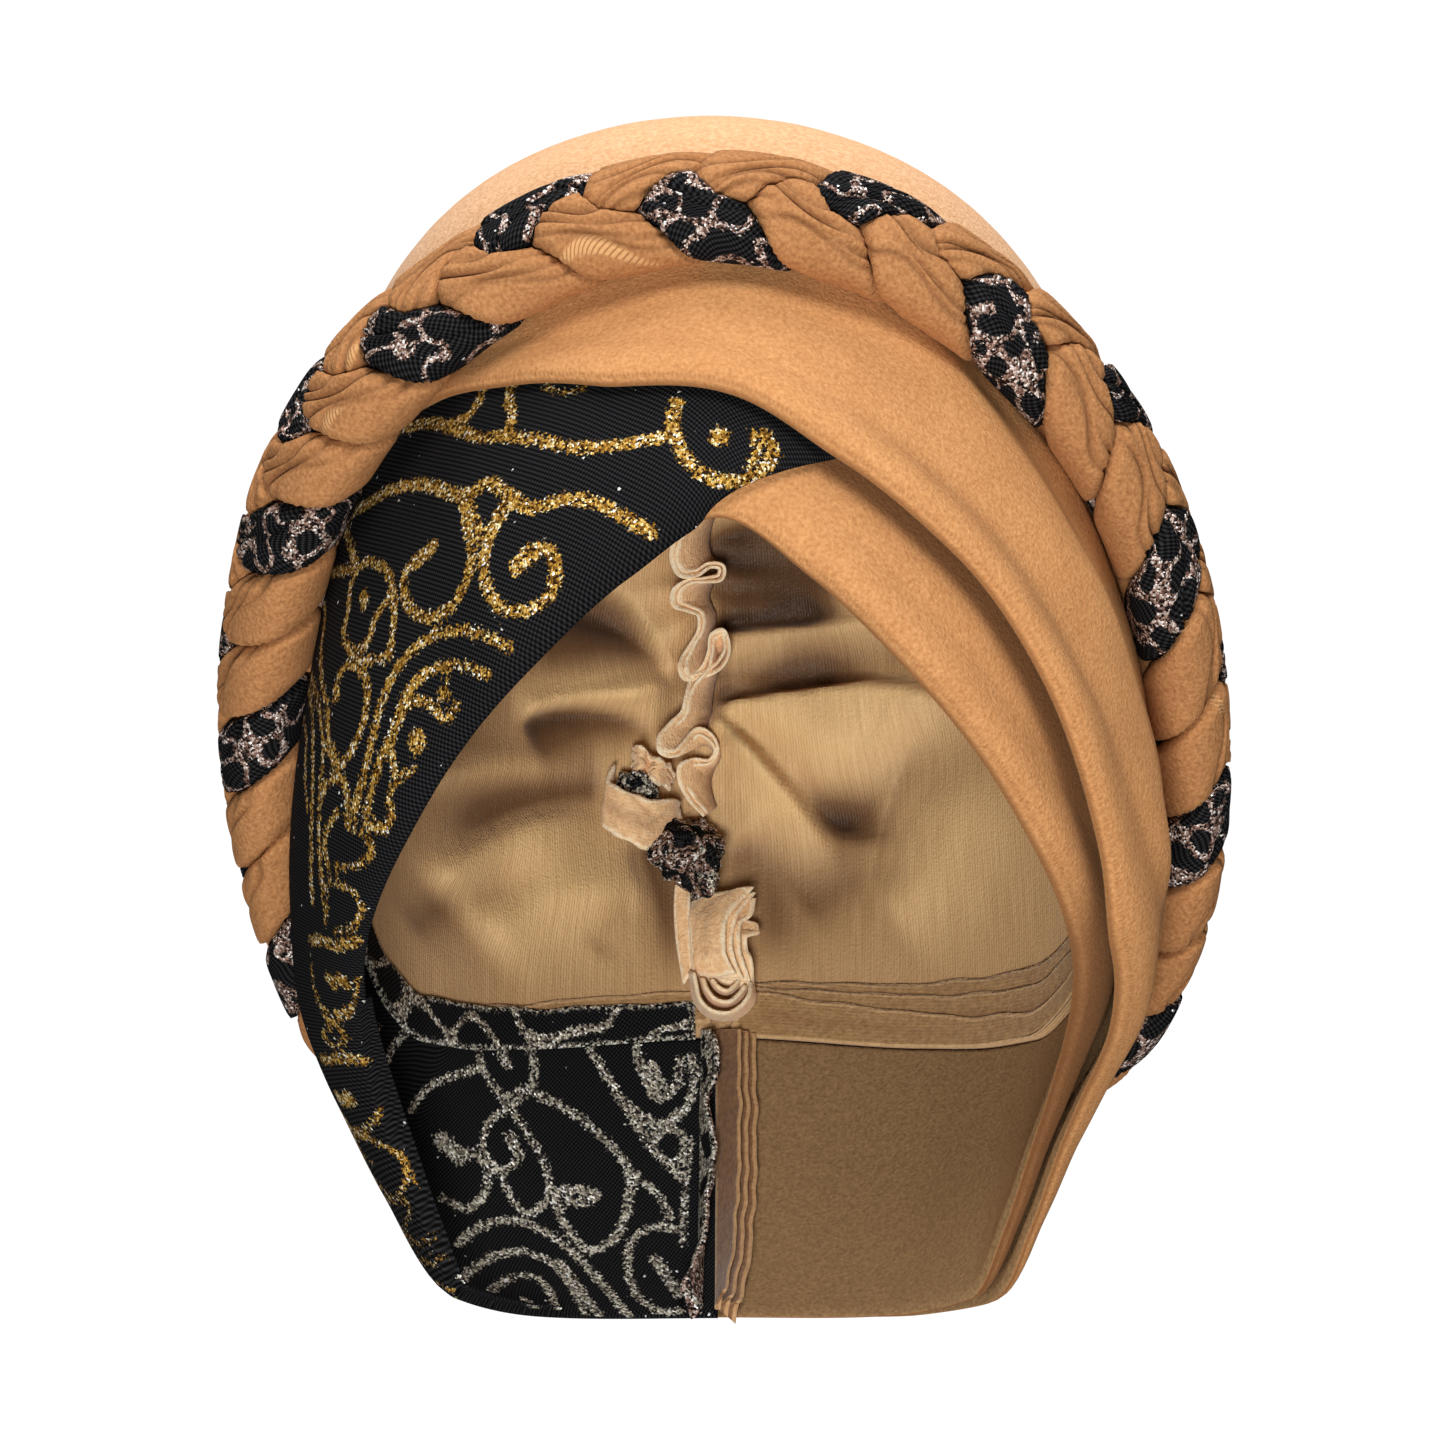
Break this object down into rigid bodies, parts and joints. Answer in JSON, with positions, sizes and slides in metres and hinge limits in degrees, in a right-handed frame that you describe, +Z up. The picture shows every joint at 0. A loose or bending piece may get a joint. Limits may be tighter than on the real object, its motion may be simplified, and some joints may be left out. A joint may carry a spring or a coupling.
{
  "type": "braided turban cap",
  "caption": "Slip-on turban cap with a gathered tan crown, a wrapped band in tan and black metallic-scroll cloth, and a padded braid over the seam.",
  "frame": {"origin": "inside top of the crown, where it rests on the head", "axes": "+Z up as worn, -Y towards the face, +X to the wearer's left, which is the viewer's right from the front"},
  "size_m": [0.2211, 0.1963, 0.2585],
  "materials": {
    "tan_brushed_cloth": "brushed, short nap",
    "tan_satin_cloth": "satin, fine ribs",
    "tan_cloth_edge": "matte, cut edge",
    "black_lurex_cloth": "knit with metallic thread"
  },
  "bodies": {
    "root": {"crown": "tan_satin_cloth", "crown_seam_ruffle": "tan_cloth_edge", "lurex_band": "black_lurex_cloth", "under_wrap": "tan_brushed_cloth", "upper_wrap": "tan_brushed_cloth", "strand_tan_a": "tan_brushed_cloth", "strand_tan_b": "tan_brushed_cloth", "strand_lurex": "black_lurex_cloth", "tab_tan": "tan_cloth_edge", "tab_lurex": "black_lurex_cloth", "tab_thick": "tan_cloth_edge", "band_seam_lurex": "black_lurex_cloth", "band_seam_tan": "tan_cloth_edge", "nape_seam_lurex": "black_lurex_cloth", "nape_seam_tan": "tan_cloth_edge"}
  },
  "joints": []
}
